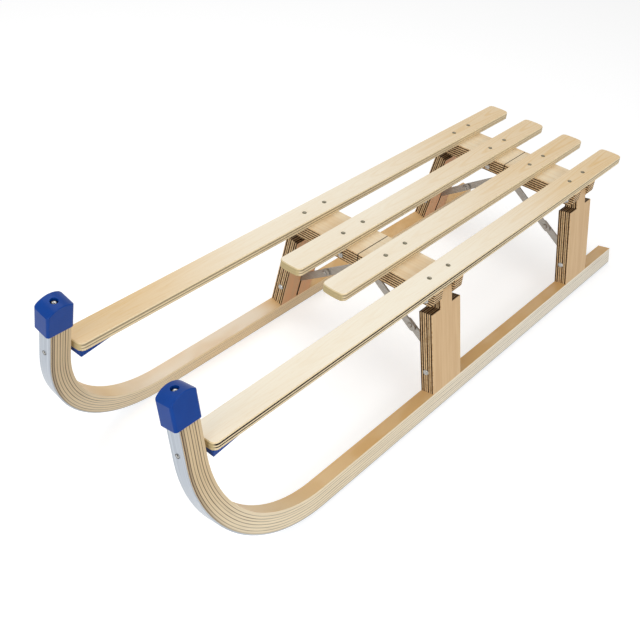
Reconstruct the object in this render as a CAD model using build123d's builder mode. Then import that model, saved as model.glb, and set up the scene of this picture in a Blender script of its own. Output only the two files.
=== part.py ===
from build123d import *
import math
import os

os.makedirs("parts", exist_ok=True)

# A folding slatted wooden sled, all sizes in millimetres.
# +X is forward, +Y is the left side, +Z is up, and the runner strips stand on Z = 0.

# Seat slats
seat_height = 229.2
slat_width = 43.0
slat_thickness = 12.5
slat_corner = 9.0
slat_edge = 1.2
slat_end_bow = 2.0
slat_horn_gap = 5.8
outer_slat_y = 125.0
inner_slat_y = 42.6
inner_slat_front_x = 174.0
rear_x = -548.6

# Cross yokes, one half on each side of the middle seam, as wide as the legs
board_width = 75.0
yoke_thickness = 26.0
yoke_end_reach = 15.0
yoke_end_round = 10.0
seam_gap = 1.0
front_yoke_x = 22.5
rear_overhang = 141.6

# Canted runners, each bent up into a horn, with a steel strip below
cant = math.radians(11.3)
foot_y = 159.8
runner_width = 24.0
runner_depth = 30.0
strip_thickness = 2.0
strip_inset = 1.0
strip_end_gap = 1.5
bend_radius = 214.0
nose_x = 542.8
horn_height = 300.0

# Horn caps, measured from the end of the horn
cap_front_wall = 5.8
cap_rear_wall = 2.5
cap_side_wall = 2.5
cap_lap = 30.0
cap_front_rise = 4.5
cap_crown_rise = 15.0
cap_rear_rise = 8.5
cap_corner = 4.0
cap_edge = 1.2
cap_recess_diameter = 11.0
cap_recess_floor = 7.5

# Legs, with a tongue that turns in the forked end of the yoke
tongue_width = 30.0
tongue_side_gap = 1.0
tongue_top_gap = 5.0
fork_inner_gap = 2.5
shoulder_gap = 11.7

# Stays that cross from each leg to the opposite half of the yoke
foot_pin_height = 70.0
foot_pin_depth = 10.5
head_pin_rise = 8.3
stay_hinge_gap = 1.4
bar_depth = 13.0
bar_thickness = 3.0
bar_play = 1.0
bar_lap = 5.0
bar_offset = 1.0
rivet_reach = 75.4
leg_slot_rise = 92.0
yoke_slot_lead = 0.8
yoke_slot_outer = 30.0
yoke_slot_roof = 3.5

# Pins and the middle hinge
fold_pin_diameter = 8.0
stay_pin_diameter = 6.0
rivet_diameter = 5.0
pin_play = 1.0
fold_head_diameter = 12.0
stay_head_diameter = 9.5
rivet_head_diameter = 9.0
head_height = 2.4
head_bevel = 1.2
leaf_length = 60.0
leaf_width = 20.0
leaf_thickness = 1.6
leaf_gap = 1.0
knuckle_radius = 2.0
knuckle_count = 5
knuckle_gap = 0.6
hinge_pin_diameter = 2.4
hinge_play = 0.5
hinge_drop = 2.4

# Wedge under the front of each outer slat
wedge_length = 52.0
wedge_depth = 9.0
wedge_tip = 1.5
wedge_inset = 2.0
wedge_setback = 1.5

# How far a cut runs past the piece it cuts
cut_margin = 10.0

# Derived places
yoke_top = seat_height - slat_thickness
yoke_bottom = yoke_top - yoke_thickness
frame_lift = -strip_inset * math.sin(cant)
bend_x = nose_x - bend_radius
horn_front_x = nose_x - strip_thickness
horn_rear_x = horn_front_x - runner_depth
runner_top = strip_thickness + runner_depth
cap_bottom = horn_height - cap_lap
strip_top = cap_bottom - strip_end_gap
outer_slat_front_x = horn_rear_x - slat_horn_gap
hinge_z = yoke_bottom - hinge_drop
yokes = (("front", front_yoke_x), ("rear", rear_x + rear_overhang))
sides = (("left", 1), ("right", -1))


def frame_point(height, depth):
    """Y and Z on the left frame, from its height up the cant and depth from the inner face."""
    y = foot_y - height * math.sin(cant) + depth * math.cos(cant)
    z = frame_lift + height * math.cos(cant) + depth * math.sin(cant)
    return y, z


def frame_height(z, depth):
    """Height up the cant at which a depth of the left frame reaches a level."""
    return (z - frame_lift - depth * math.sin(cant)) / math.cos(cant)


def frame_plane(depth):
    """Plane of the left frame at a depth from its inner face, facing inward."""
    y, z = frame_point(0, depth)
    return Plane(origin=(0, y, z), x_dir=(1, 0, 0), z_dir=(0, -math.cos(cant), -math.sin(cant)))


def cross_plane(x, y=0, z=0):
    """Plane square to X, with its own axes along Y and Z."""
    return Plane(origin=(x, y, z), x_dir=(0, 1, 0), z_dir=(1, 0, 0))


def save(shape, name, side=1):
    """Mirror a left piece for the right side, label it and write it out."""
    piece = shape if side > 0 else mirror(shape, about=Plane.XZ)
    piece.label = name
    export_step(piece, f"parts/{name}.step")


# Pivots of the left side
fold_z = yoke_top - tongue_top_gap - runner_width / 2
fold_axis_height = frame_height(fold_z, runner_width / 2)
fold_y = frame_point(fold_axis_height, runner_width / 2)[0]
foot_pin_y, foot_pin_z = frame_point(foot_pin_height, foot_pin_depth)
head_pin_z = yoke_bottom + head_pin_rise

# Line of the left stay, from its foot pin up past the hinge, which it clears below
hinge_clearance = bar_depth / 2 + knuckle_radius + stay_hinge_gap
hinge_distance = math.hypot(foot_pin_y, hinge_z - foot_pin_z)
stay_angle = math.atan2(hinge_z - foot_pin_z, -foot_pin_y) + math.asin(hinge_clearance / hinge_distance)
stay_way = (math.cos(stay_angle), math.sin(stay_angle))
stay_length = (head_pin_z - foot_pin_z) / stay_way[1]
foot_at = (foot_pin_y, foot_pin_z)


def stay_point(distance):
    """Y and Z on the line of the left stay, at a distance from its foot pin."""
    return foot_pin_y + distance * stay_way[0], foot_pin_z + distance * stay_way[1]


head_at = stay_point(stay_length)
head_pin_y = -head_at[0]
rivet_at = stay_point(rivet_reach)
upper_stop = stay_point(rivet_reach - bar_lap)
lower_stop = stay_point(rivet_reach + bar_lap)

# Edges and slots that follow the pivots
fork_y = fold_y - runner_width / 2 - fork_inner_gap
yoke_end_y = fold_y + yoke_end_reach
shoulder_height = frame_height(yoke_bottom - shoulder_gap, runner_width)
slot_width = bar_thickness + 2 * bar_play
leg_slot_depth = foot_pin_depth + bar_depth / 2 + bar_play
leg_slot_top = foot_pin_height + leg_slot_rise
slot_start_z = yoke_bottom - leaf_thickness - yoke_slot_lead + bar_depth / 2 / stay_way[0]
yoke_slot_start = -stay_point((slot_start_z - foot_pin_z) / stay_way[1])[0]
yoke_slot_end = head_pin_y + yoke_slot_outer
yoke_slot_top = head_pin_z + bar_depth / 2 + yoke_slot_roof


def bent_face(inner, outer, top):
    """Face of a strip that runs flat along the floor and bends up into the horn."""
    def at(radius):
        half = radius * math.sqrt(0.5)
        floor = (bend_x, bend_radius - radius)
        middle = (bend_x + half, bend_radius - half)
        upright = (bend_x + radius, bend_radius)
        return floor, middle, upright

    low, low_mid, low_up = at(outer)
    high, high_mid, high_up = at(inner)
    with BuildSketch() as face:
        with BuildLine():
            Line((rear_x, low[1]), low)
            ThreePointArc(low, low_mid, low_up)
            Line(low_up, (low_up[0], top))
            Line((low_up[0], top), (high_up[0], top))
            Line((high_up[0], top), high_up)
            ThreePointArc(high_up, high_mid, high)
            Line(high, (rear_x, high[1]))
            Line((rear_x, high[1]), (rear_x, low[1]))
        make_face()
    return face.sketch


def headed_pin(diameter, head, length, x, y, z):
    """Pin along X through a piece of the given length, with a bevelled head at each end."""
    with BuildPart() as pin:
        with BuildSketch(cross_plane(x - length / 2, y, z)):
            Circle(diameter / 2)
        extrude(amount=length)
        for end, way in ((x - length / 2, -1), (x + length / 2, 1)):
            with BuildSketch(cross_plane(end, y, z)):
                Circle(head / 2)
            extrude(amount=way * head_height)
        rims = pin.edges().filter_by(GeomType.CIRCLE).group_by(Axis.X)
        chamfer(rims[0] + rims[-1], length=head_bevel)
    return pin.part


def blind_pin(face_x, slot_x, y, z):
    """Stay pin from an outer face to the edge of the leg's slot, with a bevelled head outside."""
    way = 1 if face_x > slot_x else -1
    with BuildPart() as pin:
        with BuildSketch(cross_plane(slot_x, y, z)):
            Circle(stay_pin_diameter / 2)
        extrude(amount=face_x - slot_x)
        with BuildSketch(cross_plane(face_x, y, z)):
            Circle(stay_head_diameter / 2)
        extrude(amount=way * head_height)
        rims = pin.edges().filter_by(GeomType.CIRCLE).sort_by(Axis.X)
        chamfer(rims[-1] if way > 0 else rims[0], length=head_bevel)
    return pin.part


def stay_bar(start, stop, x_low, hole_at, hole):
    """Flat bar with round ends between two points of the cross section."""
    run = (stop[0] - start[0], stop[1] - start[1])
    span = math.hypot(*run)
    tilt = math.degrees(math.atan2(run[1], run[0]))
    middle = ((start[0] + stop[0]) / 2, (start[1] + stop[1]) / 2)
    with BuildPart() as bar:
        with BuildSketch(cross_plane(x_low)):
            with Locations(middle):
                SlotCenterToCenter(span, bar_depth, rotation=tilt)
            with Locations(hole_at):
                Circle(hole / 2, mode=Mode.SUBTRACT)
            with Locations(rivet_at):
                Circle(rivet_diameter / 2, mode=Mode.SUBTRACT)
        extrude(amount=bar_thickness)
    return bar.part


for side_name, side in sides:
    # Runner, bent up into the horn
    outer_radius = bend_radius - strip_thickness
    with BuildPart() as runner:
        with BuildSketch(frame_plane(runner_width)):
            add(bent_face(outer_radius - runner_depth, outer_radius, horn_height))
        extrude(amount=runner_width)
    save(runner.part, f"{side_name}_runner", side)

    # Steel strip under the runner
    with BuildPart() as strip:
        with BuildSketch(frame_plane(runner_width - strip_inset)):
            add(bent_face(outer_radius, bend_radius, strip_top))
        extrude(amount=runner_width - 2 * strip_inset)
    save(strip.part, f"{side_name}_runner_strip", side)

    # Moulded cap over the horn, arched on top, with a recess for its screw
    cap_front_x = horn_front_x + cap_front_wall + strip_thickness
    cap_rear_x = horn_rear_x - cap_rear_wall
    cap_mid_x = (cap_front_x + cap_rear_x) / 2
    front_shoulder = (cap_front_x, horn_height + cap_front_rise)
    crown = (cap_mid_x, horn_height + cap_crown_rise)
    rear_shoulder = (cap_rear_x, horn_height + cap_rear_rise)
    up = Axis((0, 0, 0), (0, -math.sin(cant), math.cos(cant)))
    with BuildPart() as cap:
        with BuildSketch(frame_plane(runner_width + cap_side_wall)):
            with BuildLine():
                Polyline(rear_shoulder, (cap_rear_x, cap_bottom), (cap_front_x, cap_bottom), front_shoulder)
                ThreePointArc(front_shoulder, crown, rear_shoulder)
            make_face()
        extrude(amount=runner_width + 2 * cap_side_wall)
        fillet(cap.edges().filter_by(up), radius=cap_corner)
        fillet(cap.faces().sort_by(up)[-1].edges(), radius=cap_edge)
        with BuildSketch(frame_plane(runner_width)):
            with Locations(((horn_front_x + horn_rear_x) / 2, (cap_bottom + horn_height) / 2)):
                Rectangle(runner_depth, horn_height - cap_bottom)
        extrude(amount=runner_width, mode=Mode.SUBTRACT)
        recess_at = frame_point(horn_height + cap_recess_floor, runner_width / 2)
        with BuildSketch(Plane(origin=(cap_mid_x, *recess_at), x_dir=(1, 0, 0), z_dir=up.direction)):
            Circle(cap_recess_diameter / 2)
        extrude(amount=cap_crown_rise, mode=Mode.SUBTRACT)
    save(cap.part, f"{side_name}_horn_cap", side)

    # Seat slats with rounded corners and slightly bowed ends
    slats = (("outer", outer_slat_y, outer_slat_front_x), ("inner", inner_slat_y, inner_slat_front_x))
    for slat_name, slat_y, front_x in slats:
        half = slat_width / 2
        front_corner_x = front_x - slat_end_bow
        rear_corner_x = rear_x + slat_end_bow
        with BuildPart() as slat:
            with BuildSketch(Plane.XY.offset(yoke_top)) as outline:
                with BuildLine():
                    Line((rear_corner_x, slat_y - half), (front_corner_x, slat_y - half))
                    ThreePointArc(
                        (front_corner_x, slat_y - half), (front_x, slat_y), (front_corner_x, slat_y + half))
                    Line((front_corner_x, slat_y + half), (rear_corner_x, slat_y + half))
                    ThreePointArc(
                        (rear_corner_x, slat_y + half), (rear_x, slat_y), (rear_corner_x, slat_y - half))
                make_face()
                fillet(outline.vertices(), radius=slat_corner)
            extrude(amount=slat_thickness)
            chamfer(slat.faces().sort_by(Axis.Z)[-1].edges(), length=slat_edge)
        save(slat.part, f"{side_name}_{slat_name}_slat", side)

    # Wedge under the front of the outer slat
    wedge_width = slat_width - 2 * wedge_inset
    wedge_front_x = outer_slat_front_x - wedge_setback
    wedge_rear_x = wedge_front_x - wedge_length
    wedge_side = (0, outer_slat_y + wedge_width / 2, yoke_top)
    with BuildPart() as wedge:
        with BuildSketch(Plane(origin=wedge_side, x_dir=(1, 0, 0), z_dir=(0, -1, 0))):
            with BuildLine():
                Polyline(
                    (wedge_front_x, 0),
                    (wedge_front_x, -wedge_depth),
                    (wedge_rear_x, -wedge_tip),
                    (wedge_rear_x, 0),
                    close=True,
                )
            make_face()
        extrude(amount=wedge_width)
    save(wedge.part, f"{side_name}_slat_wedge", side)

    for yoke_name, x in yokes:
        piece = f"{side_name}_{yoke_name}"
        lower_bar_x = x + side * (bar_offset + bar_thickness / 2)
        head_bar_x = x - side * (bar_offset + bar_thickness * 1.5)

        # Leg with its tongue, pin holes and stay slot
        with BuildPart() as leg:
            with BuildSketch(frame_plane(runner_width)):
                with Locations((x, (runner_top + shoulder_height) / 2)):
                    Rectangle(board_width, shoulder_height - runner_top)
                with Locations((x, (runner_top + fold_axis_height) / 2)):
                    Rectangle(tongue_width, fold_axis_height - runner_top)
            extrude(amount=runner_width)
            with BuildSketch(cross_plane(x - tongue_width / 2, fold_y, fold_z)):
                Circle(runner_width / 2)
            extrude(amount=tongue_width)
            with BuildSketch(cross_plane(x - tongue_width, fold_y, fold_z)):
                Circle((fold_pin_diameter + pin_play) / 2)
            extrude(amount=2 * tongue_width, mode=Mode.SUBTRACT)
            with BuildSketch(cross_plane(x - board_width, foot_pin_y, foot_pin_z)):
                Circle(stay_pin_diameter / 2)
            extrude(amount=2 * board_width, mode=Mode.SUBTRACT)
            with BuildSketch(frame_plane(leg_slot_depth)):
                with Locations((lower_bar_x, (runner_top + leg_slot_top) / 2)):
                    Rectangle(slot_width, leg_slot_top - runner_top)
            extrude(amount=runner_width, mode=Mode.SUBTRACT)
        save(leg.part, f"{piece}_leg", side)

        # Half yoke, forked at its end and slotted below for the opposite stay
        with BuildPart() as yoke:
            with BuildSketch(cross_plane(x - board_width / 2)):
                with BuildLine():
                    Polyline(
                        (yoke_end_y, yoke_bottom + yoke_end_round),
                        (yoke_end_y, yoke_top),
                        (seam_gap / 2, yoke_top),
                        (seam_gap / 2, yoke_bottom),
                        (yoke_end_y - yoke_end_round, yoke_bottom),
                    )
                    RadiusArc(
                        (yoke_end_y - yoke_end_round, yoke_bottom),
                        (yoke_end_y, yoke_bottom + yoke_end_round),
                        -yoke_end_round,
                    )
                make_face()
            extrude(amount=board_width)
            fork_end_y = yoke_end_y + cut_margin
            with BuildSketch(Plane.XY.offset(yoke_bottom)):
                with Locations((x, (fork_y + fork_end_y) / 2)):
                    Rectangle(tongue_width + 2 * tongue_side_gap, fork_end_y - fork_y)
            extrude(amount=yoke_thickness, mode=Mode.SUBTRACT)
            with BuildSketch(Plane.XY.offset(yoke_bottom)):
                with Locations((head_bar_x, (yoke_slot_start + yoke_slot_end) / 2)):
                    Rectangle(slot_width, yoke_slot_end - yoke_slot_start)
            extrude(amount=yoke_slot_top - yoke_bottom, mode=Mode.SUBTRACT)
            with BuildSketch(cross_plane(x - board_width)):
                with Locations((fold_y, fold_z)):
                    Circle(fold_pin_diameter / 2)
                with Locations((head_pin_y, head_pin_z)):
                    Circle(stay_pin_diameter / 2)
            extrude(amount=2 * board_width, mode=Mode.SUBTRACT)
        save(yoke.part, f"{piece}_yoke", side)

        # Pins of the leg, the yoke and the stay
        fold_pin = headed_pin(fold_pin_diameter, fold_head_diameter, board_width, x, fold_y, fold_z)
        save(fold_pin, f"{piece}_fold_pin", side)
        foot_ends = (
            ("rear", x - board_width / 2, lower_bar_x - slot_width / 2),
            ("front", x + board_width / 2, lower_bar_x + slot_width / 2),
        )
        for end_name, face_x, slot_x in foot_ends:
            foot_pin = blind_pin(face_x, slot_x, foot_pin_y, foot_pin_z)
            save(foot_pin, f"{piece}_stay_foot_pin_{end_name}", side)
        head_pin = headed_pin(stay_pin_diameter, stay_head_diameter, board_width, x, head_pin_y, head_pin_z)
        save(head_pin, f"{piece}_stay_head_pin", side)

        # Stay of two flat bars lapped and riveted
        if side > 0:
            lower_x = x + bar_offset
            upper_x = x + bar_offset + bar_thickness
        else:
            lower_x = x - bar_offset - bar_thickness
            upper_x = x - bar_offset - 2 * bar_thickness
        bar_hole = stay_pin_diameter + pin_play
        save(stay_bar(head_at, upper_stop, upper_x, head_at, bar_hole), f"{piece}_stay_upper", side)
        save(stay_bar(foot_at, lower_stop, lower_x, foot_at, bar_hole), f"{piece}_stay_lower", side)
        lap_x = x + side * (bar_offset + bar_thickness)
        rivet = headed_pin(rivet_diameter, rivet_head_diameter, 2 * bar_thickness, lap_x, *rivet_at)
        save(rivet, f"{piece}_stay_rivet", side)

        # Leaf of the middle hinge, with every other knuckle, notched for the opposite stay
        pitch = leaf_length / knuckle_count
        knuckle_length = pitch - knuckle_gap
        first = 0 if side > 0 else 1
        bore = hinge_pin_diameter + (hinge_play if side > 0 else 0)
        leaf_start = knuckle_radius + leaf_gap
        tab_reach = leaf_start + leaf_gap
        tab_thickness = leaf_thickness / 2
        tab_z = yoke_bottom - leaf_thickness + tab_thickness / 2
        with BuildPart() as leaf:
            with Locations((x, leaf_start + leaf_width / 2, yoke_bottom - leaf_thickness / 2)):
                Box(leaf_length, leaf_width, leaf_thickness)
            for index in range(first, knuckle_count, 2):
                knuckle_x = x - leaf_length / 2 + index * pitch + knuckle_gap / 2
                with Locations((knuckle_x + knuckle_length / 2, tab_reach / 2, tab_z)):
                    Box(knuckle_length, tab_reach, tab_thickness)
                with BuildSketch(cross_plane(knuckle_x, 0, hinge_z)):
                    Circle(knuckle_radius)
                extrude(amount=knuckle_length)
            with BuildSketch(cross_plane(x - leaf_length, 0, hinge_z)):
                Circle(bore / 2)
            extrude(amount=2 * leaf_length, mode=Mode.SUBTRACT)
            with BuildSketch(Plane.XY.offset(yoke_bottom)):
                with Locations((head_bar_x, (yoke_slot_start + yoke_slot_end) / 2)):
                    Rectangle(slot_width, yoke_slot_end - yoke_slot_start)
            extrude(amount=-2 * leaf_thickness, mode=Mode.SUBTRACT)
        save(leaf.part, f"{piece}_hinge_leaf", side)

for yoke_name, x in yokes:
    # Pin through the knuckles of the middle hinge
    with BuildPart() as hinge_pin:
        with BuildSketch(cross_plane(x - leaf_length / 2, 0, hinge_z)):
            Circle(hinge_pin_diameter / 2)
        extrude(amount=leaf_length)
    save(hinge_pin.part, f"{yoke_name}_hinge_pin")
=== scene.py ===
"""Dresses the folding slatted wooden sled: plywood, laminated runners, blue caps, steel and screws."""
import math

import bmesh
import bpy
from bpy.props import FloatProperty, FloatVectorProperty, PointerProperty
from mathutils import Matrix, Vector


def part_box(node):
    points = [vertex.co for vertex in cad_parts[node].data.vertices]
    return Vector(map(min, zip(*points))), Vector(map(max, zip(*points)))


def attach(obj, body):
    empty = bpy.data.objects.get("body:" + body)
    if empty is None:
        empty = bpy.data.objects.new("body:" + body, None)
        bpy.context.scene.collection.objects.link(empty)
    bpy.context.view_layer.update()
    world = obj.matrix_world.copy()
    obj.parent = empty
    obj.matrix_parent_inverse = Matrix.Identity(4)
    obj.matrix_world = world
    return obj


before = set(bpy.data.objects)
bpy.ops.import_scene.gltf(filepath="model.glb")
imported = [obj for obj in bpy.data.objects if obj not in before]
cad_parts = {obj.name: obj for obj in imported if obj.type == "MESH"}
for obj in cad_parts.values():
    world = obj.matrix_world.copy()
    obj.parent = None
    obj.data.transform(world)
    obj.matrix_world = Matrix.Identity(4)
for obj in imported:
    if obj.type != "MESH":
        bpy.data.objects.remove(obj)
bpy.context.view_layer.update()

bl_info = {
    "name": "Folding slatted sled",
    "version": (1, 0, 0),
    "blender": (4, 5, 0),
    "location": "3D View > Sidebar > Sled",
    "description": "Finishes, screws and studio stage for a folding slatted wooden sled",
    "category": "Object",
}

SIDES = ("left", "right")
ENDS = ("front", "rear")
SIGN = {"left": 1.0, "right": -1.0}

# The leaning sides, in metres
CANT = math.radians(11.3)
RUNNER_WIDTH = 0.024
RUNNER_DEPTH = 0.030
STRIP_INSET = 0.001
STRIP_THICKNESS = 0.002
BEND_RADIUS = 0.212
LEAF_THICKNESS = 0.0016
SEAM_EDGE = 0.0012

# Places read from the frame
slat_low, slat_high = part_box("left_outer_slat")
inner_low, inner_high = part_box("left_inner_slat")
yoke_low, yoke_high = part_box("left_front_yoke")
rear_yoke_low, rear_yoke_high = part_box("left_rear_yoke")
leaf_low, leaf_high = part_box("left_front_hinge_leaf")
strip_low, strip_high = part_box("left_runner_strip")
cap_low, cap_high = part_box("left_horn_cap")

slat_top = slat_high[2]
slat_bottom = slat_low[2]
outer_slat_y = (slat_low[1] + slat_high[1]) / 2
inner_slat_y = (inner_low[1] + inner_high[1]) / 2
yoke_places = {
    "front": (yoke_low[0] + yoke_high[0]) / 2,
    "rear": (rear_yoke_low[0] + rear_yoke_high[0]) / 2,
}
leaf_middle_y = (leaf_low[1] + leaf_high[1]) / 2
leaf_bottom = yoke_low[2] - LEAF_THICKNESS
cap_middle_x = (cap_low[0] + cap_high[0]) / 2
rear_end_x = strip_low[0]
bend_x = strip_high[0] - BEND_RADIUS - STRIP_THICKNESS
foot_y = strip_high[1] - (RUNNER_WIDTH - STRIP_INSET) * math.cos(CANT)
foot_z = -STRIP_INSET * math.sin(CANT)

# Dark plies across an edge: middle and width as shares of the thickness, and depth of tone
SLAT_PLIES = (
    (0.035, 0.03, 0.6), (0.36, 0.15, 1.0), (0.75, 0.24, 1.0))
YOKE_PLIES = (
    (0.04, 0.04, 0.9), (0.20, 0.07, 1.0), (0.37, 0.065, 1.0), (0.53, 0.07, 1.0),
    (0.70, 0.065, 1.0), (0.87, 0.07, 1.0))
LEG_PLIES = (
    (0.06, 0.08, 1.0), (0.22, 0.09, 1.0), (0.39, 0.07, 0.8), (0.57, 0.09, 1.0),
    (0.72, 0.06, 0.8), (0.88, 0.09, 1.0))
RUNNER_PLIES = (
    (0.15, 0.016, 0.85), (0.29, 0.018, 0.75), (0.44, 0.02, 1.0),
    (0.58, 0.014, 0.75), (0.70, 0.022, 0.95), (0.84, 0.014, 0.8))

# Soft border of a dark ply, and how far plies stray, as shares of the thickness
LINE_SOFT = 0.012
PLY_SOFT = 0.014
PLY_STRAY = 0.024
RUNNER_STRAY = 0.04

# Where a tone starts and where it is full, in metres along the sled
SLAT_REAR = (0.05, -0.5)
SLAT_FRONT = (0.1, 0.42)
RUNNER_BEND = (-0.25, 0.35)
# The upper face turns blond towards the bend, partly as painted light
RUNNER_LIT_BLOND = (0.22, 0.42)
INSIDE_FADE = (0.2, 0.4)
PALE_START = (0.05, 0.11)
PALE_END = (0.44, 0.36)
CUT_END = 0.0004

# The same, in metres across the sled and up a horn
RIGHT_SLAT = (-0.09, -0.1)
RIGHT_RUNNER = (0.05, -0.05)
OUTWARD_EDGE = 0.005
HORN_RISE = (0.04, 0.2)

# The same, as shares of a runner's depth from its sole; the first is a line of painted shade along the
# steel strip
STRIP_SHADE_LINE = (0.075, 0.045)
STAIN = (0.2, 0.12)

# Arched grain of a slat, in rings a square metre, a metre and a unit of drift
ARCH_BEND = 9000.0
ARCH_PITCH = 9.0
ARCH_DRIFT = 6.0

# How square a face lies to an axis, from where it counts as a flat face to where it fully does
SQUARE_FACE = (0.75, 0.85)
END_FACE = (0.5, 0.9)
# Upward faces of the legs, which get painted shade
SHADED_TOP_FACE = (0.6, 0.9)
SIDE_TURN = 0.01

# Sheen of sawn and varnished wood and of plastic, and heights of the surface grain in metres
SAWN_SHEEN = 0.1
VARNISH_SHEEN = 0.5
PLASTIC_SHEEN = 0.14
WOOD_GRAIN = 0.0004
FINE_GRAIN = 0.0002

# A screw head: corners of its top, and sizes as shares of its radius
HEAD_CORNERS = 24
ARM_PITCH = 6
ARM_CORNERS = 3
HEAD_TAPER = 0.96
RIM_WIDTH = 0.24
CROSS_INSET = 0.36
CROSS_WAIST = 0.4

# Stage, in metres, and the camera's sensor in millimetres
FLOOR_REACH = 12.0
FLOOR_DROP = 0.0004
CAMERA_REACH = 50.0
SENSOR_WIDTH = 36.0

# Sockets of a Mix node that blends colours
MIX_SHARE = 0
MIX_FIRST = 6
MIX_SECOND = 7
MIX_RESULT = 2


def shade(red, green, blue):
    """A display colour, 0 to 255 a channel, as the linear colour that a shader takes."""
    return tuple(((channel / 255 + 0.055) / 1.055) ** 2.4 for channel in (red, green, blue))


def on_side(x, height, depth, sign):
    """A place on a leaning side, from its height up the cant and its depth from the inner face."""
    y = foot_y - height * math.sin(CANT) + depth * math.cos(CANT)
    z = foot_z + height * math.cos(CANT) + depth * math.sin(CANT)
    return x, sign * y, z


class SledWood(bpy.types.PropertyGroup):
    """Colours of the wooden pieces"""

    slat_pale: FloatVectorProperty(
        name="Slat pale", description="Pale veneer of the seat slats", subtype="COLOR",
        min=0.0, max=1.0, default=shade(246, 237, 217))
    slat_honey: FloatVectorProperty(
        name="Slat honey", description="Darker grain of the seat slats", subtype="COLOR",
        min=0.0, max=1.0, default=shade(221, 184, 124))
    slat_core: FloatVectorProperty(
        name="Slat core", description="Pale plies on a slat's edge", subtype="COLOR",
        min=0.0, max=1.0, default=shade(232, 212, 174))
    slat_line: FloatVectorProperty(
        name="Slat dark ply", description="Dark plies on a slat's edge", subtype="COLOR",
        min=0.0, max=1.0, default=shade(28, 16, 8))
    slat_end: FloatVectorProperty(
        name="Slat end", description="End grain of the slats", subtype="COLOR",
        min=0.0, max=1.0, default=shade(196, 178, 134))
    ply_light: FloatVectorProperty(
        name="Ply light", description="Light plies on the edges of yokes and legs", subtype="COLOR",
        min=0.0, max=1.0, default=shade(234, 202, 156))
    ply_mid: FloatVectorProperty(
        name="Ply middle", description="Streaks in the light plies", subtype="COLOR",
        min=0.0, max=1.0, default=shade(204, 164, 118))
    # Also the painted shade on the legs' upward faces
    ply_dark_and_shade: FloatVectorProperty(
        name="Ply dark", description="Dark plies on the edges of yokes and legs", subtype="COLOR",
        min=0.0, max=1.0, default=shade(48, 26, 12))
    yoke_cream: FloatVectorProperty(
        name="Yoke cream", description="Top veneer of the yokes", subtype="COLOR",
        min=0.0, max=1.0, default=shade(242, 224, 191))
    yoke_tan: FloatVectorProperty(
        name="Yoke tan", description="Grain in the yokes' veneer", subtype="COLOR",
        min=0.0, max=1.0, default=shade(220, 184, 134))
    leg_tan: FloatVectorProperty(
        name="Leg tan", description="Outer veneer of the legs", subtype="COLOR",
        min=0.0, max=1.0, default=shade(213, 180, 135))
    leg_brown: FloatVectorProperty(
        name="Leg brown", description="Grain in the legs' veneer", subtype="COLOR",
        min=0.0, max=1.0, default=shade(198, 161, 116))
    # Partly the inner veneer's own tone, partly painted shade with warm bounce light
    leg_inside_shaded: FloatVectorProperty(
        name="Leg inside", description="Inner veneer of the legs", subtype="COLOR",
        min=0.0, max=1.0, default=shade(220, 157, 102))
    runner_cream: FloatVectorProperty(
        name="Runner cream", description="Runners' sides at the rear", subtype="COLOR",
        min=0.0, max=1.0, default=shade(237, 228, 209))
    runner_straw: FloatVectorProperty(
        name="Runner straw", description="Runners' sides at the bend", subtype="COLOR",
        min=0.0, max=1.0, default=shade(234, 218, 187))
    runner_khaki: FloatVectorProperty(
        name="Runner khaki", description="Runners' sides up the horns", subtype="COLOR",
        min=0.0, max=1.0, default=shade(208, 184, 145))
    runner_inside: FloatVectorProperty(
        name="Runner inside", description="Inner sides of the runners", subtype="COLOR",
        min=0.0, max=1.0, default=shade(242, 213, 168))
    # Also the painted shade line along the steel strip
    runner_line_and_shade: FloatVectorProperty(
        name="Runner dark ply", description="Thin dark plies on the runners' sides", subtype="COLOR",
        min=0.0, max=1.0, default=shade(76, 54, 30))
    # Partly the wood's own tone, partly painted shade under the seat
    runner_honey_shaded: FloatVectorProperty(
        name="Runner honey", description="Upper face of the runners at the rear", subtype="COLOR",
        min=0.0, max=1.0, default=shade(217, 174, 114))
    # Partly the wood's own tone, partly painted light at the bend
    runner_blond_lit: FloatVectorProperty(
        name="Runner blond", description="Upper face of the runners at the bend", subtype="COLOR",
        min=0.0, max=1.0, default=shade(234, 205, 160))
    # A paler, mottled patch on the upper face before the right front leg
    runner_pale: FloatVectorProperty(
        name="Runner pale", description="Paler upper face before the right front leg", subtype="COLOR",
        min=0.0, max=1.0, default=shade(234, 218, 195))


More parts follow.
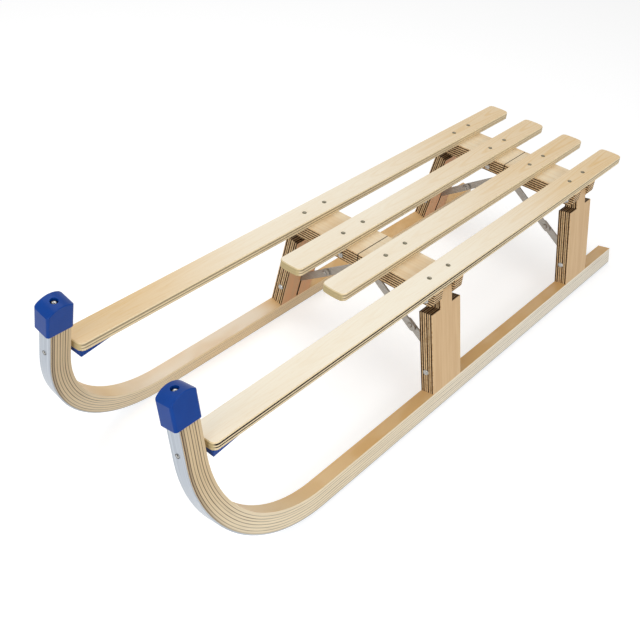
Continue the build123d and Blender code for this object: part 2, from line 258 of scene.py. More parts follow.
class SledTrim(bpy.types.PropertyGroup):
    """Colours of the plastic and the steel"""

    cap_blue: FloatVectorProperty(
        name="Cap blue", description="Moulded caps and wedges", subtype="COLOR",
        min=0.0, max=1.0, default=shade(8, 64, 146))
    cap_deep: FloatVectorProperty(
        name="Cap deep blue", description="Faint mottling of the moulded plastic", subtype="COLOR",
        min=0.0, max=1.0, default=shade(6, 56, 130))
    strip_bright: FloatVectorProperty(
        name="Strip bright", description="Bright steel under the runners", subtype="COLOR",
        min=0.0, max=1.0, default=shade(184, 191, 199))
    strip_dull: FloatVectorProperty(
        name="Strip dull", description="Brush marks on the bright steel", subtype="COLOR",
        min=0.0, max=1.0, default=shade(166, 173, 182))
    pin_bright: FloatVectorProperty(
        name="Pin bright", description="Zinc on pins and hinges", subtype="COLOR",
        min=0.0, max=1.0, default=shade(198, 198, 196))
    pin_dull: FloatVectorProperty(
        name="Pin dull", description="Darker spangle of the zinc", subtype="COLOR",
        min=0.0, max=1.0, default=shade(150, 150, 148))
    stay_grey: FloatVectorProperty(
        name="Stay grey", description="Flat steel of the stays", subtype="COLOR",
        min=0.0, max=1.0, default=shade(172, 168, 162))
    stay_brown: FloatVectorProperty(
        name="Stay brown", description="Rolling marks on the stays", subtype="COLOR",
        min=0.0, max=1.0, default=shade(158, 153, 146))
    screw_grey: FloatVectorProperty(
        name="Screw grey", description="Screw heads in the slats", subtype="COLOR",
        min=0.0, max=1.0, default=shade(158, 153, 134))
    screw_olive: FloatVectorProperty(
        name="Screw olive", description="Patches on the screw heads", subtype="COLOR",
        min=0.0, max=1.0, default=shade(132, 126, 104))
    screw_shadow: FloatVectorProperty(
        name="Screw shadow", description="Rim and cross recess of a screw", subtype="COLOR",
        min=0.0, max=1.0, default=shade(52, 46, 36))


class SledScrews(bpy.types.PropertyGroup):
    """Sizes and places of the screws"""

    head_radius: FloatProperty(
        name="Head radius", description="Radius of a countersunk head", unit="LENGTH", default=0.0036)
    head_height: FloatProperty(
        name="Head height", description="Height of a head's rim", unit="LENGTH", default=0.0012)
    proud: FloatProperty(
        name="Proud", description="How far a head stands out of its surface", unit="LENGTH",
        default=0.0007)
    recess: FloatProperty(
        name="Recess", description="Depth of the cross recess", unit="LENGTH", default=0.0005)
    yoke_pitch: FloatProperty(
        name="Pitch on a yoke", description="Distance between a slat's two screws on one yoke",
        unit="LENGTH", default=0.049)
    horn_height: FloatProperty(
        name="Horn screw height", description="Height of the strip's screw up the horn", unit="LENGTH",
        default=0.228)
    strip_pitch: FloatProperty(
        name="Strip pitch", description="Distance between the screws along a strip", unit="LENGTH",
        default=0.22)
    strip_end: FloatProperty(
        name="Strip end", description="First strip screw from the rear end", unit="LENGTH", default=0.05)
    cap_top: FloatProperty(
        name="Cap screw top", description="Height of a cap's screw up the cant", unit="LENGTH",
        default=0.311)
    cap_head: FloatProperty(
        name="Cap screw head", description="Height of the head in a cap's recess", unit="LENGTH",
        default=0.0046)
    leaf_pitch: FloatProperty(
        name="Hinge pitch", description="Distance between the two screws of a hinge leaf", unit="LENGTH",
        default=0.04)


class SledStage(bpy.types.PropertyGroup):
    """Camera and light"""

    camera_place: FloatVectorProperty(
        name="Camera place", description="Place of the camera", subtype="TRANSLATION", unit="LENGTH",
        default=(0.9967, 0.6739, 0.9868))
    azimuth: FloatProperty(
        name="Azimuth", description="Turn of the camera about the vertical", subtype="ANGLE",
        default=math.radians(128.229))
    elevation: FloatProperty(
        name="Elevation", description="Camera's angle above the floor", subtype="ANGLE",
        default=math.radians(38.173))
    roll: FloatProperty(
        name="Roll", description="Camera's tilt about its line of sight", subtype="ANGLE",
        default=math.radians(4.864))
    lens: FloatProperty(
        name="Lens", description="Focal length in millimetres on a 36 mm sensor", default=50.07)
    sky: FloatProperty(
        name="Sky", description="Strength of the even light from all round", default=0.45)
    key_power: FloatProperty(
        name="Key power", description="Power of the large lamp above the right side", unit="POWER",
        default=17.0)
    fill_power: FloatProperty(
        name="Fill power", description="Power of the lamp at the left side", unit="POWER", default=21.0)
    front_power: FloatProperty(
        name="Front power", description="Power of the lamp before the horns", unit="POWER", default=20.0)
    floor_grey: FloatProperty(
        name="Floor grey", description="Share of light that the floor gives back", subtype="FACTOR",
        default=0.62)
    floor_glow: FloatProperty(
        name="Floor glow", description="What makes the seen floor white away from the shadow",
        default=0.56)


class Finish:
    """A material, with short calls for the nodes of its tree."""

    def __init__(self, name):
        self.material = bpy.data.materials.new(name)
        self.material.use_nodes = True
        self.tree = self.material.node_tree
        self.tree.nodes.clear()
        self.shader = self.add("ShaderNodeBsdfPrincipled")
        output = self.add("ShaderNodeOutputMaterial")
        self.feed(output.inputs["Surface"], self.shader.outputs["BSDF"])
        source = self.add("ShaderNodeTexCoord")
        self.position = source.outputs["Object"]
        self.normal = source.outputs["Normal"]

    def add(self, kind, **settings):
        """A new node with these settings."""
        node = self.tree.nodes.new(kind)
        for setting, value in settings.items():
            setattr(node, setting, value)
        return node

    def feed(self, socket, value):
        """Links a socket to an output, or sets it to a number or a colour."""
        if isinstance(value, bpy.types.NodeSocket):
            self.tree.links.new(value, socket)
        elif socket.type == "RGBA":
            socket.default_value = (*value, 1.0)
        else:
            socket.default_value = value

    def set(self, **values):
        """Sets or links the shader's own sockets."""
        for name, value in values.items():
            self.feed(self.shader.inputs[name.replace("_", " ")], value)

    def maths(self, operation, first, second=0.0):
        """One step of arithmetic."""
        node = self.add("ShaderNodeMath", operation=operation)
        self.feed(node.inputs[0], first)
        self.feed(node.inputs[1], second)
        return node.outputs["Value"]

    def total(self, start, *terms):
        """A number plus each value times its weight."""
        result = start
        for value, weight in terms:
            result = self.maths("ADD", self.maths("MULTIPLY", value, weight), result)
        return result

    def product(self, first, *others):
        """Values multiplied together."""
        result = first
        for value in others:
            result = self.maths("MULTIPLY", result, value)
        return result

    def axes(self, vector):
        """The x, y and z of a vector."""
        node = self.add("ShaderNodeSeparateXYZ")
        self.feed(node.inputs["Vector"], vector)
        return node.outputs["X"], node.outputs["Y"], node.outputs["Z"]

    def join(self, x, y, z):
        """A vector of three values."""
        node = self.add("ShaderNodeCombineXYZ")
        for socket, value in zip(node.inputs, (x, y, z)):
            self.feed(socket, value)
        return node.outputs["Vector"]

    def noise(self, scale, detail=2.0, roughness=0.5, vector=None):
        """Soft noise from 0 to 1, in cycles a unit along each axis of a vector or of the piece."""
        stretched = self.add("ShaderNodeMapping")
        self.feed(stretched.inputs["Vector"], vector or self.position)
        stretched.inputs["Scale"].default_value = scale
        node = self.add("ShaderNodeTexNoise")
        self.feed(node.inputs["Vector"], stretched.outputs["Vector"])
        node.inputs["Scale"].default_value = 1.0
        node.inputs["Detail"].default_value = detail
        node.inputs["Roughness"].default_value = roughness
        return node.outputs["Fac"]

    def ranged(self, value, kind, **ends):
        """A value carried from one range to another, held at the ends."""
        node = self.add("ShaderNodeMapRange", interpolation_type=kind)
        self.feed(node.inputs["Value"], value)
        for end, number in ends.items():
            node.inputs[end.replace("_", " ")].default_value = number
        return node.outputs["Result"]

    def step(self, value, low, high):
        """A smooth step from 0 at low to 1 at high."""
        return self.ranged(value, "SMOOTHSTEP", From_Min=low, From_Max=high)

    def share(self, value, low, high):
        """A straight rise from 0 at low to 1 at high."""
        return self.ranged(value, "LINEAR", From_Min=low, From_Max=high)

    def span(self, value, low, high):
        """A value from 0 to 1 spread between low and high."""
        return self.ranged(value, "LINEAR", To_Min=low, To_Max=high)

    def mix(self, share, first, second):
        """Blends two colours by a share from 0 to 1."""
        node = self.add("ShaderNodeMix", data_type="RGBA")
        self.feed(node.inputs[MIX_SHARE], share)
        self.feed(node.inputs[MIX_FIRST], first)
        self.feed(node.inputs[MIX_SECOND], second)
        return node.outputs[MIX_RESULT]

    def plies(self, place, lines, soft):
        """Tone of the dark plies at a place from 0 to 1 across an edge."""
        stops = [(0.0, 0.0)]
        for middle, width, tone in lines:
            low = middle - width / 2
            high = middle + width / 2
            stops += [(low - soft, 0.0), (low, tone), (high, tone), (high + soft, 0.0)]
        stops.append((1.0, 0.0))
        node = self.add("ShaderNodeValToRGB")
        elements = node.color_ramp.elements
        for stop, _ in stops[1:-1]:
            elements.new(stop)
        for element, (_, tone) in zip(elements, stops):
            element.color = (tone, tone, tone, 1.0)
        self.feed(node.inputs["Fac"], place)
        return node.outputs["Color"]

    def bump(self, height, strength, distance):
        """Raises the surface by a height pattern."""
        node = self.add("ShaderNodeBump")
        node.inputs["Strength"].default_value = strength
        node.inputs["Distance"].default_value = distance
        self.feed(node.inputs["Height"], height)
        self.feed(self.shader.inputs["Normal"], node.outputs["Normal"])


def dress(names, material):
    """Gives these solids one material."""
    for name in names:
        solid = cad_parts[name]
        if not solid.material_slots:
            solid.data.materials.append(material)
        for slot in solid.material_slots:
            slot.material = material


def leaning_axes(finish):
    """Height up a leaning side and depth from its inner face, in metres."""
    x, y, z = finish.axes(finish.position)
    out = finish.maths("SUBTRACT", finish.maths("ABSOLUTE", y), foot_y)
    rise = finish.maths("SUBTRACT", z, foot_z)
    height = finish.total(0.0, (rise, math.cos(CANT)), (out, -math.sin(CANT)))
    depth = finish.total(0.0, (out, math.cos(CANT)), (rise, math.sin(CANT)))
    return x, height, depth


def plywood_edge(finish, place, lines, wood):
    """Light and dark plies across an edge, from a place of 0 to 1, and a little ragged."""
    ragged = finish.noise((35.0, 35.0, 35.0), detail=3.0)
    place = finish.total(-PLY_STRAY / 2, (place, 1.0), (ragged, PLY_STRAY))
    streak = finish.noise((260.0, 260.0, 260.0), detail=4.0)
    light = finish.mix(finish.step(streak, 0.42, 0.72), tuple(wood.ply_light), tuple(wood.ply_mid))
    return finish.mix(finish.plies(place, lines, PLY_SOFT), light, tuple(wood.ply_dark_and_shade))


def slat_finish(wood):
    """Pale veneer with fine flecks and faint arched grain, and dark plies on the edges."""
    finish = Finish("slat_plywood")
    x, y, z = finish.axes(finish.position)
    nx, _, nz = finish.axes(finish.normal)
    side = finish.maths("ABSOLUTE", y)
    to_outer = finish.maths("ABSOLUTE", finish.maths("SUBTRACT", side, outer_slat_y))
    to_inner = finish.maths("ABSOLUTE", finish.maths("SUBTRACT", side, inner_slat_y))
    off_centre = finish.maths("MINIMUM", to_outer, to_inner)
    fleck = finish.noise((60.0, 800.0, 60.0))
    streak = finish.noise((7.0, 230.0, 40.0), detail=4.0)
    drift = finish.noise((2.6, 17.0, 1.0), detail=1.0)
    bent = finish.maths("POWER", off_centre, 2.0)
    rings = finish.total(0.0, (bent, ARCH_BEND), (x, ARCH_PITCH), (drift, ARCH_DRIFT))
    arches = finish.maths("SINE", finish.product(rings, 2 * math.pi))
    rear = finish.step(x, *SLAT_REAR)
    right_front = finish.product(finish.step(x, *SLAT_FRONT), finish.step(y, *RIGHT_SLAT))
    figure = finish.product(finish.step(arches, 0.3, 1.0), finish.span(rear, 0.06, 0.2))
    grain = finish.total(
        0.0, (finish.step(streak, 0.38, 0.75), 0.06), (finish.step(fleck, 0.5, 0.75), 0.12),
        (finish.step(drift, 0.4, 0.7), 0.14), (figure, 1.0), (rear, 0.6), (right_front, 0.66))
    face = finish.mix(grain, tuple(wood.slat_pale), tuple(wood.slat_honey))
    level = finish.share(z, slat_bottom, slat_top)
    end = finish.step(finish.maths("ABSOLUTE", nx), *END_FACE)
    core = finish.mix(end, tuple(wood.slat_core), tuple(wood.slat_end))
    outward = finish.step(side, outer_slat_y - OUTWARD_EDGE, outer_slat_y + OUTWARD_EDGE)
    fade = finish.product(
        finish.span(end, 1.0, 0.12), finish.span(rear, 1.0, 0.5), finish.span(outward, 0.55, 1.0))
    tone = finish.product(finish.plies(level, SLAT_PLIES, LINE_SOFT), fade)
    edge = finish.mix(tone, core, tuple(wood.slat_line))
    flat = finish.step(finish.maths("ABSOLUTE", nz), *SQUARE_FACE)
    finish.set(
        Base_Color=finish.mix(flat, edge, face), Roughness=finish.span(streak, 0.38, 0.55),
        Specular_IOR_Level=finish.span(flat, SAWN_SHEEN, VARNISH_SHEEN))
    finish.bump(streak, 0.06, WOOD_GRAIN)
    return finish.material


def yoke_finish(wood):
    """Thick plywood lying flat: plies on every edge, cream veneer on top and below."""
    finish = Finish("yoke_plywood")
    _, y, z = finish.axes(finish.position)
    _, _, nz = finish.axes(finish.normal)
    edge = plywood_edge(finish, finish.share(z, yoke_low[2], yoke_high[2]), YOKE_PLIES, wood)
    streak = finish.noise((230.0, 8.0, 60.0), detail=4.0)
    drift = finish.noise((20.0, 9.0, 1.0), detail=1.0)
    grain = finish.total(
        0.0, (finish.step(streak, 0.35, 0.75), 0.35), (finish.step(drift, 0.4, 0.7), 0.5))
    face = finish.mix(grain, tuple(wood.yoke_cream), tuple(wood.yoke_tan))
    flat = finish.step(finish.maths("ABSOLUTE", nz), *SQUARE_FACE)
    at_seam = finish.step(finish.maths("ABSOLUTE", y), SEAM_EDGE, SEAM_EDGE / 2)
    seam = finish.product(at_seam, 0.85)
    colour = finish.mix(seam, finish.mix(flat, edge, face), tuple(wood.ply_dark_and_shade))
    finish.set(
        Base_Color=colour, Roughness=finish.span(streak, 0.42, 0.6),
        Specular_IOR_Level=finish.span(flat, SAWN_SHEEN, VARNISH_SHEEN))
    finish.bump(streak, 0.1, WOOD_GRAIN)
    return finish.material


def leg_finish(wood):
    """Thick plywood standing at the cant: plies on the front and rear edges, tan veneer on the faces,
    and painted shade on the upward faces.
    """
    finish = Finish("leg_plywood")
    _, y, _ = finish.axes(finish.position)
    _, ny, nz = finish.axes(finish.normal)
    _, _, depth = leaning_axes(finish)
    edge = plywood_edge(finish, finish.share(depth, 0.0, RUNNER_WIDTH), LEG_PLIES, wood)
    # Painted shade: the legs' upward faces, such as the shoulders under the yoke arms, are darkened 70 %
    # towards the dark ply colour
    shaded_top = finish.product(finish.step(nz, *SHADED_TOP_FACE), 0.7)
    edge = finish.mix(shaded_top, edge, tuple(wood.ply_dark_and_shade))
    streak = finish.noise((260.0, 60.0, 6.0), detail=4.0)
    broad = finish.noise((45.0, 10.0, 2.0), detail=1.0)
    grain = finish.total(
        0.0, (finish.step(streak, 0.35, 0.75), 0.5), (finish.step(broad, 0.35, 0.7), 0.4))
    outside = finish.mix(grain, tuple(wood.leg_tan), tuple(wood.leg_brown))
    # Inner faces: a warmer, darker copy of the veneer, partly painted shade with warm bounce light
    inside = finish.mix(grain, tuple(wood.leg_inside_shaded), tuple(wood.leg_brown))
    outward = finish.step(finish.product(y, ny), -SIDE_TURN, SIDE_TURN)
    flat = finish.step(finish.maths("ABSOLUTE", ny), *SQUARE_FACE)
    face = finish.mix(outward, inside, outside)
    finish.set(
        Base_Color=finish.mix(flat, edge, face), Roughness=finish.span(streak, 0.42, 0.6),
        Specular_IOR_Level=finish.span(flat, SAWN_SHEEN, VARNISH_SHEEN))
    finish.bump(streak, 0.1, WOOD_GRAIN)
    return finish.material


def runner_finish(wood):
    """Bent laminated wood: thin dark plies that follow the bend on the sides, with a line of painted
    shade along the steel strip; honey faces, partly painted shade at the rear and partly painted light
    at the bend, with a paler patch before the right front leg.
    """
    finish = Finish("runner_laminate")
    _, y, _ = finish.axes(finish.position)
    _, ny, _ = finish.axes(finish.normal)
    x, height, depth = leaning_axes(finish)
    rise = finish.maths("SUBTRACT", height, STRIP_THICKNESS)
    ahead = finish.maths("MAXIMUM", finish.maths("SUBTRACT", x, bend_x), 0.0)
    below = finish.maths("MINIMUM", finish.maths("SUBTRACT", rise, BEND_RADIUS), 0.0)
    squares = finish.maths("ADD", finish.product(ahead, ahead), finish.product(below, below))
    inward = finish.maths("SUBTRACT", BEND_RADIUS, finish.maths("SQRT", squares))
    wander = finish.noise((9.0, 9.0, 9.0), detail=3.0)
    across = finish.share(inward, 0.0, RUNNER_DEPTH)
    place = finish.total(-RUNNER_STRAY / 2, (across, 1.0), (wander, RUNNER_STRAY))
    laid = finish.join(place, finish.maths("ADD", x, height), depth)
    fibre = finish.noise((45.0, 14.0, 90.0), detail=4.0, vector=laid)
    broken = finish.noise((7.0, 10.0, 20.0), detail=3.0, vector=laid)
    up_horn = finish.step(height, *HORN_RISE)
    to_bend = finish.step(x, *RUNNER_BEND)
    strength = finish.total(
        0.34, (to_bend, 0.2), (up_horn, 0.3), (finish.step(broken, 0.35, 0.65), 0.3))
    plain = finish.mix(to_bend, tuple(wood.runner_cream), tuple(wood.runner_straw))
    turned_in = finish.step(finish.product(y, ny), SIDE_TURN, -SIDE_TURN)
    inner = finish.product(turned_in, finish.span(finish.step(x, *INSIDE_FADE), 1.0, 0.3))
    plain = finish.mix(inner, plain, tuple(wood.runner_inside))
    plain = finish.mix(up_horn, plain, tuple(wood.runner_khaki))
    grain = finish.product(finish.step(fibre, 0.4, 0.75), finish.span(inner, 0.22, 0.1))
    lines = finish.total(grain, (finish.plies(place, RUNNER_PLIES, LINE_SOFT), strength))
    # Painted shade: a dark line on the sides along the seam with the steel strip, stronger up the horn
    strip_shade = finish.product(finish.step(place, *STRIP_SHADE_LINE), finish.total(0.35, (up_horn, 0.65)))
    stained = finish.product(finish.step(place, *STAIN), up_horn, 0.4)
    tone = finish.maths("MAXIMUM", finish.maths("ADD", lines, stained), strip_shade)
    edge = finish.mix(tone, plain, tuple(wood.runner_line_and_shade))
    streak = finish.noise((8.0, 260.0, 8.0), detail=4.0)
    blotch = finish.noise((14.0, 30.0, 14.0), detail=1.0)
    # Honey at the rear is partly painted shade under the seat and blond at the bend partly painted
    # light; the blotches are the wood's own tone
    blond = finish.total(
        0.0, (finish.step(x, *RUNNER_LIT_BLOND), 0.7), (finish.step(blotch, 0.4, 0.6), 0.3))
    face = finish.mix(blond, tuple(wood.runner_honey_shaded), tuple(wood.runner_blond_lit))
    # A paler, mottled patch on the upper face before the right front leg
    paler_patch = finish.product(
        finish.step(y, *RIGHT_RUNNER), finish.step(x, *PALE_START), finish.step(x, *PALE_END),
        finish.span(finish.step(blotch, 0.35, 0.65), 0.65, 1.0))
    face = finish.mix(paler_patch, face, tuple(wood.runner_pale))
    cut = finish.step(x, rear_end_x + CUT_END, rear_end_x + CUT_END / 2)
    flat = finish.step(finish.maths("ABSOLUTE", ny), *SQUARE_FACE)
    colour = finish.mix(finish.maths("MAXIMUM", flat, cut), face, edge)
    finish.set(Base_Color=colour, Roughness=finish.span(streak, 0.4, 0.58))
    finish.bump(streak, 0.08, WOOD_GRAIN)
    return finish.material


def plastic_finish(trim):
    """Moulded blue plastic with a fine grain."""
    finish = Finish("blue_plastic")
    mottle = finish.noise((60.0, 60.0, 60.0), detail=3.0)
    grain = finish.noise((1400.0, 1400.0, 1400.0))
    finish.set(
        Base_Color=finish.mix(mottle, tuple(trim.cap_blue), tuple(trim.cap_deep)),
        Roughness=finish.span(grain, 0.24, 0.36), Specular_IOR_Level=PLASTIC_SHEEN)
    finish.bump(grain, 0.05, FINE_GRAIN)
    return finish.material


def steel(finish, mark, bright, dull, smooth, rough):
    """Steel with marks between a bright and a dull colour."""
    finish.set(
        Base_Color=finish.mix(finish.step(mark, 0.3, 0.7), tuple(bright), tuple(dull)),
        Metallic=1.0, Roughness=finish.span(mark, smooth, rough))
    finish.bump(mark, 0.05, FINE_GRAIN)
    return finish.material


def steel_finish(name, bright, dull, marks, smooth, rough):
    """Rolled or spangled steel, with marks of this many cycles a metre along each axis."""
    finish = Finish(name)
    return steel(finish, finish.noise(marks, detail=3.0), bright, dull, smooth, rough)


def strip_finish(trim):
    """Bright steel, brushed along the runner."""
    finish = Finish("bright_strip_steel")
    x, height, depth = leaning_axes(finish)
    along = finish.maths("ADD", x, height)
    brushed = finish.noise((7.0, 600.0, 1.0), detail=3.0, vector=finish.join(along, depth, 0.0))
    return steel(finish, brushed, trim.strip_bright, trim.strip_dull, 0.28, 0.42)


def shadow_finish(trim):
    """Dark rim and recess of a screw."""
    finish = Finish("screw_shadow")
    grit = finish.noise((900.0, 900.0, 900.0))
    finish.set(Base_Color=tuple(trim.screw_shadow), Roughness=finish.span(grit, 0.6, 0.9))
    return finish.material


def screw_head(mesh, place, facing, height, screws):
    """Adds a head with a dark rim and a cross recess at a place, facing along a direction."""
    radius = screws.head_radius
    others = set(mesh.verts)
    made = bmesh.ops.create_cone(
        mesh, cap_ends=True, cap_tris=False, segments=HEAD_CORNERS, radius1=radius,
        radius2=radius * HEAD_TAPER, depth=height)
    bmesh.ops.translate(mesh, verts=made["verts"], vec=(0.0, 0.0, screws.proud - height / 2))
    faces = {face for vert in made["verts"] for face in vert.link_faces}
    top = max(faces, key=lambda face: face.calc_center_median().z)
    rim = bmesh.ops.inset_region(mesh, faces=[top], thickness=radius * RIM_WIDTH, use_even_offset=True)
    bmesh.ops.inset_region(mesh, faces=[top], thickness=radius * CROSS_INSET, use_even_offset=True)
    for corner, vert in enumerate(top.verts):
        on_arm = (corner + 1) % ARM_PITCH < ARM_CORNERS
        vert.co.xy *= 1.0 if on_arm else CROSS_WAIST
        vert.co.z -= screws.recess
    for face in rim["faces"] + [top]:
        face.material_index = 1
    head = [vert for vert in mesh.verts if vert not in others]
    turn = Vector((0.0, 0.0, 1.0)).rotation_difference(Vector(facing)).to_matrix().to_4x4()
    bmesh.ops.transform(mesh, matrix=Matrix.Translation(place) @ turn, verts=head)


def add_screws(name, places, height, materials, body, screws):
    """One piece of screw heads at (place, facing) pairs, riding on a body."""
    mesh = bmesh.new()
    for place, facing in places:
        screw_head(mesh, place, facing, height, screws)
    data = bpy.data.meshes.new(name)
    mesh.to_mesh(data)
    mesh.free()
    for material in materials:
        data.materials.append(material)
    piece = bpy.data.objects.new(name, data)
    bpy.context.scene.collection.objects.link(piece)
    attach(piece, body)


class SLED_OT_slats(bpy.types.Operator):
    """Finish the four seat slats"""

    bl_idname = "sled.slats"
    bl_label = "Seat slats"

    def execute(self, context):
        names = [f"{side}_{slat}_slat" for side in SIDES for slat in ("outer", "inner")]
        dress(names, slat_finish(context.scene.sled_wood))
        return {"FINISHED"}


class SLED_OT_cross_frames(bpy.types.Operator):
    """Finish the yokes and the legs"""

    bl_idname = "sled.cross_frames"
    bl_label = "Yokes and legs"

    def execute(self, context):
        wood = context.scene.sled_wood
        dress([f"{side}_{end}_yoke" for side in SIDES for end in ENDS], yoke_finish(wood))
        dress([f"{side}_{end}_leg" for side in SIDES for end in ENDS], leg_finish(wood))
        return {"FINISHED"}


class SLED_OT_runners(bpy.types.Operator):
    """Finish the bent runners and their steel strips"""

    bl_idname = "sled.runners"
    bl_label = "Runners and strips"

    def execute(self, context):
        dress([f"{side}_runner" for side in SIDES], runner_finish(context.scene.sled_wood))
        dress([f"{side}_runner_strip" for side in SIDES], strip_finish(context.scene.sled_trim))
        return {"FINISHED"}


class SLED_OT_plastic(bpy.types.Operator):
    """Finish the horn caps and the wedges"""

    bl_idname = "sled.plastic"
    bl_label = "Caps and wedges"

    def execute(self, context):
        names = [f"{side}_{piece}" for side in SIDES for piece in ("horn_cap", "slat_wedge")]
        dress(names, plastic_finish(context.scene.sled_trim))
        return {"FINISHED"}


class SLED_OT_hardware(bpy.types.Operator):
    """Finish the pins, stays and hinges"""

    bl_idname = "sled.hardware"
    bl_label = "Pins, stays and hinges"

    def execute(self, context):
        trim = context.scene.sled_trim
        spangle = (400.0, 400.0, 400.0)
        rolled = (900.0, 60.0, 900.0)
        zinc = steel_finish("pin_zinc", trim.pin_bright, trim.pin_dull, spangle, 0.2, 0.38)
        flat = steel_finish("stay_flat_steel", trim.stay_grey, trim.stay_brown, rolled, 0.4, 0.55)
        pins = ("fold_pin", "stay_foot_pin_front", "stay_foot_pin_rear", "stay_head_pin", "hinge_leaf")
        names = [f"{side}_{end}_{pin}" for side in SIDES for end in ENDS for pin in pins]
        names += [f"{end}_hinge_pin" for end in ENDS]
        dress(names, zinc)
        bars = ("stay_upper", "stay_lower", "stay_rivet")
        dress([f"{side}_{end}_{bar}" for side in SIDES for end in ENDS for bar in bars], flat)
        return {"FINISHED"}


class SLED_OT_screws(bpy.types.Operator):
    """Add the screws of the slats, strips, caps and hinges"""

    bl_idname = "sled.screws"
    bl_label = "Screws"

    def execute(self, context):
        trim = context.scene.sled_trim
        screws = context.scene.sled_screws
        spots = (500.0, 500.0, 500.0)
        shadow = shadow_finish(trim)
        grey = steel_finish("slat_screw_steel", trim.screw_grey, trim.screw_olive, spots, 0.35, 0.55)
        zinc = steel_finish("strip_screw_zinc", trim.pin_bright, trim.pin_dull, spots, 0.25, 0.4)
        for side in SIDES:
            sign = SIGN[side]
            seat = f"{side}_seat"
            side_frame = f"{side}_frame"
            groups = (
                ("slat_screws", self.on_slats(screws, sign), screws.head_height, grey, seat),
                ("hinge_screws", self.on_hinges(screws, sign), screws.head_height, zinc, seat),
                ("strip_screws", self.on_strip(screws, sign), screws.head_height, zinc, side_frame),
                ("cap_screw", self.on_cap(screws, sign), screws.cap_head, zinc, side_frame),
            )
            for name, places, height, plating, body in groups:
                add_screws(f"{side}_{name}", places, height, (plating, shadow), body, screws)
        return {"FINISHED"}

    def on_slats(self, screws, sign):
        """Two screws on each yoke for each slat of a side."""
        half = screws.yoke_pitch / 2
        return [
            ((yoke_places[end] + step, sign * slat_y, slat_top), (0.0, 0.0, 1.0))
            for end in ENDS
            for step in (-half, half)
            for slat_y in (outer_slat_y, inner_slat_y)
        ]

    def on_hinges(self, screws, sign):
        """Two screws below each hinge leaf of a side."""
        half = screws.leaf_pitch / 2
        return [
            ((yoke_places[end] + step, sign * leaf_middle_y, leaf_bottom), (0.0, 0.0, -1.0))
            for end in ENDS
            for step in (-half, half)
        ]

    def on_strip(self, screws, sign):
        """One screw on the horn and a row under the runner."""
        down = (0.0, sign * math.sin(CANT), -math.cos(CANT))
        middle = RUNNER_WIDTH / 2
        places = [(on_side(strip_high[0], screws.horn_height, middle, sign), (1.0, 0.0, 0.0))]
        count = int((bend_x - rear_end_x - screws.strip_end) / screws.strip_pitch) + 1
        for index in range(count):
            x = rear_end_x + screws.strip_end + index * screws.strip_pitch
            places.append((on_side(x, 0.0, middle, sign), down))
        return places

    def on_cap(self, screws, sign):
        """One screw in the top of the cap."""
        up = (0.0, -sign * math.sin(CANT), math.cos(CANT))
        return [(on_side(cap_middle_x, screws.cap_top, RUNNER_WIDTH / 2, sign), up)]


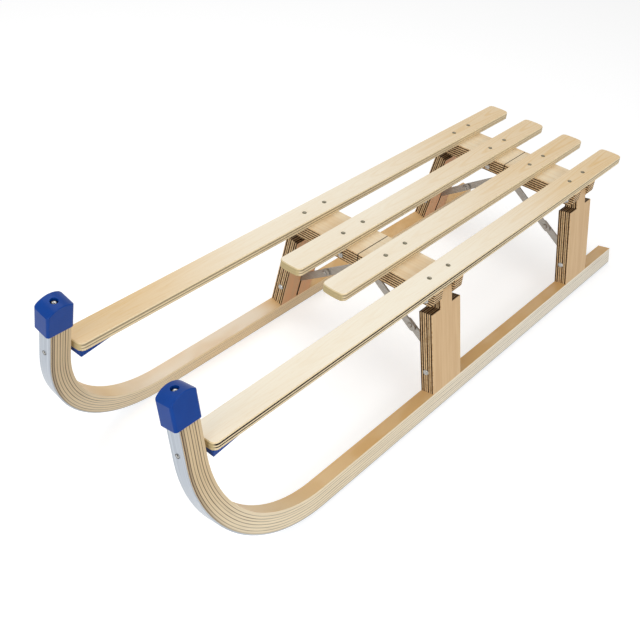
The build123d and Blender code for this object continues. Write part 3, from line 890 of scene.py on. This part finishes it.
class SLED_OT_stage(bpy.types.Operator):
    """Set the floor, the light and the camera"""

    bl_idname = "sled.stage"
    bl_label = "Studio stage"

    def execute(self, context):
        stage = context.scene.sled_stage
        self.floor(context, stage)
        self.light(context, stage)
        self.camera(context, stage)
        context.scene.view_settings.view_transform = "Standard"
        return {"FINISHED"}

    def floor(self, context, stage):
        """A pale floor that is seen white and keeps the shadow."""
        mesh = bmesh.new()
        bmesh.ops.create_grid(mesh, x_segments=1, y_segments=1, size=FLOOR_REACH)
        bmesh.ops.translate(mesh, verts=mesh.verts, vec=(0.0, 0.0, -FLOOR_DROP))
        data = bpy.data.meshes.new("floor")
        mesh.to_mesh(data)
        mesh.free()
        finish = Finish("pale_floor")
        path = finish.add("ShaderNodeLightPath")
        seen = finish.maths("MAXIMUM", path.outputs["Is Camera Ray"], path.outputs["Is Glossy Ray"])
        seen = finish.maths("MAXIMUM", seen, path.outputs["Is Transmission Ray"])
        finish.set(
            Base_Color=(stage.floor_grey,) * 3, Roughness=0.9, Specular_IOR_Level=0.0,
            Emission_Color=(1.0, 1.0, 1.0), Emission_Strength=finish.product(seen, stage.floor_glow))
        data.materials.append(finish.material)
        floor = bpy.data.objects.new("floor", data)
        context.scene.collection.objects.link(floor)

    def light(self, context, stage):
        """An even sky that is seen white, and three large lamps."""
        world = bpy.data.worlds.new("studio")
        context.scene.world = world
        world.use_nodes = True
        tree = world.node_tree
        tree.nodes.clear()
        path = tree.nodes.new("ShaderNodeLightPath")
        even = tree.nodes.new("ShaderNodeBackground")
        even.inputs["Strength"].default_value = stage.sky
        white = tree.nodes.new("ShaderNodeBackground")
        white.inputs["Strength"].default_value = 1.0
        for node in (even, white):
            node.inputs["Color"].default_value = (1.0, 1.0, 1.0, 1.0)
        glossy = tree.nodes.new("ShaderNodeMath")
        glossy.operation = "MAXIMUM"
        tree.links.new(path.outputs["Is Camera Ray"], glossy.inputs[0])
        tree.links.new(path.outputs["Is Glossy Ray"], glossy.inputs[1])
        seen = tree.nodes.new("ShaderNodeMath")
        seen.operation = "MAXIMUM"
        tree.links.new(glossy.outputs["Value"], seen.inputs[0])
        tree.links.new(path.outputs["Is Transmission Ray"], seen.inputs[1])
        blend = tree.nodes.new("ShaderNodeMixShader")
        tree.links.new(seen.outputs["Value"], blend.inputs["Fac"])
        tree.links.new(even.outputs["Background"], blend.inputs[1])
        tree.links.new(white.outputs["Background"], blend.inputs[2])
        output = tree.nodes.new("ShaderNodeOutputWorld")
        tree.links.new(blend.outputs["Shader"], output.inputs["Surface"])
        lamps = (
            ("key", (0.1, -0.7, 2.2), 1.8, stage.key_power),
            ("fill", (0.3, 2.2, 1.0), 1.4, stage.fill_power),
            ("front", (2.3, 0.3, 0.9), 1.4, stage.front_power),
        )
        for name, place, size, power in lamps:
            data = bpy.data.lights.new(name, "AREA")
            data.size = size
            data.energy = power
            lamp = bpy.data.objects.new(name, data)
            lamp.location = place
            lamp.rotation_euler = (-Vector(place)).to_track_quat("-Z", "Y").to_euler()
            context.scene.collection.objects.link(lamp)

    def camera(self, context, stage):
        """The camera at its place and angles."""
        back = Vector((
            math.sin(stage.azimuth) * math.cos(stage.elevation),
            -math.cos(stage.azimuth) * math.cos(stage.elevation),
            math.sin(stage.elevation)))
        right = Vector((0.0, 0.0, 1.0)).cross(back).normalized()
        up = back.cross(right)
        turned_right = math.cos(stage.roll) * right + math.sin(stage.roll) * up
        turned_up = math.cos(stage.roll) * up - math.sin(stage.roll) * right
        axes = Matrix((turned_right, turned_up, back)).transposed()
        data = bpy.data.cameras.new("camera")
        data.lens = stage.lens
        data.sensor_width = SENSOR_WIDTH
        data.clip_end = CAMERA_REACH
        camera = bpy.data.objects.new("camera", data)
        camera.matrix_world = Matrix.Translation(stage.camera_place) @ axes.to_4x4()
        context.scene.collection.objects.link(camera)
        context.scene.camera = camera


OPERATORS = (
    SLED_OT_slats, SLED_OT_cross_frames, SLED_OT_runners, SLED_OT_plastic, SLED_OT_hardware,
    SLED_OT_screws, SLED_OT_stage)
SETTINGS = {
    "sled_wood": SledWood, "sled_trim": SledTrim, "sled_screws": SledScrews, "sled_stage": SledStage}


class SLED_PT_sidebar(bpy.types.Panel):
    """Lists the sled's pieces in the sidebar"""

    bl_idname = "SLED_PT_sidebar"
    bl_label = "Folding slatted sled"
    bl_space_type = "VIEW_3D"
    bl_region_type = "UI"
    bl_category = "Sled"

    def draw(self, context):
        for operator in OPERATORS:
            self.layout.operator(operator.bl_idname)
        for setting, group in SETTINGS.items():
            box = self.layout.box()
            box.label(text=group.__doc__)
            for name in group.__annotations__:
                box.prop(getattr(context.scene, setting), name)


def register():
    """Adds the settings, the operators and the panel."""
    for setting, group in SETTINGS.items():
        bpy.utils.register_class(group)
        setattr(bpy.types.Scene, setting, PointerProperty(type=group))
    for operator in OPERATORS:
        bpy.utils.register_class(operator)
    bpy.utils.register_class(SLED_PT_sidebar)


def unregister():
    """Takes the panel, the operators and the settings away."""
    bpy.utils.unregister_class(SLED_PT_sidebar)
    for operator in reversed(OPERATORS):
        bpy.utils.unregister_class(operator)
    for setting, group in SETTINGS.items():
        delattr(bpy.types.Scene, setting)
        bpy.utils.unregister_class(group)


def main():
    """Registers the add-on and makes every piece."""
    register()
    for operator in OPERATORS:
        group, name = operator.bl_idname.split(".")
        getattr(getattr(bpy.ops, group), name)()


if __name__ == "__main__":
    main()
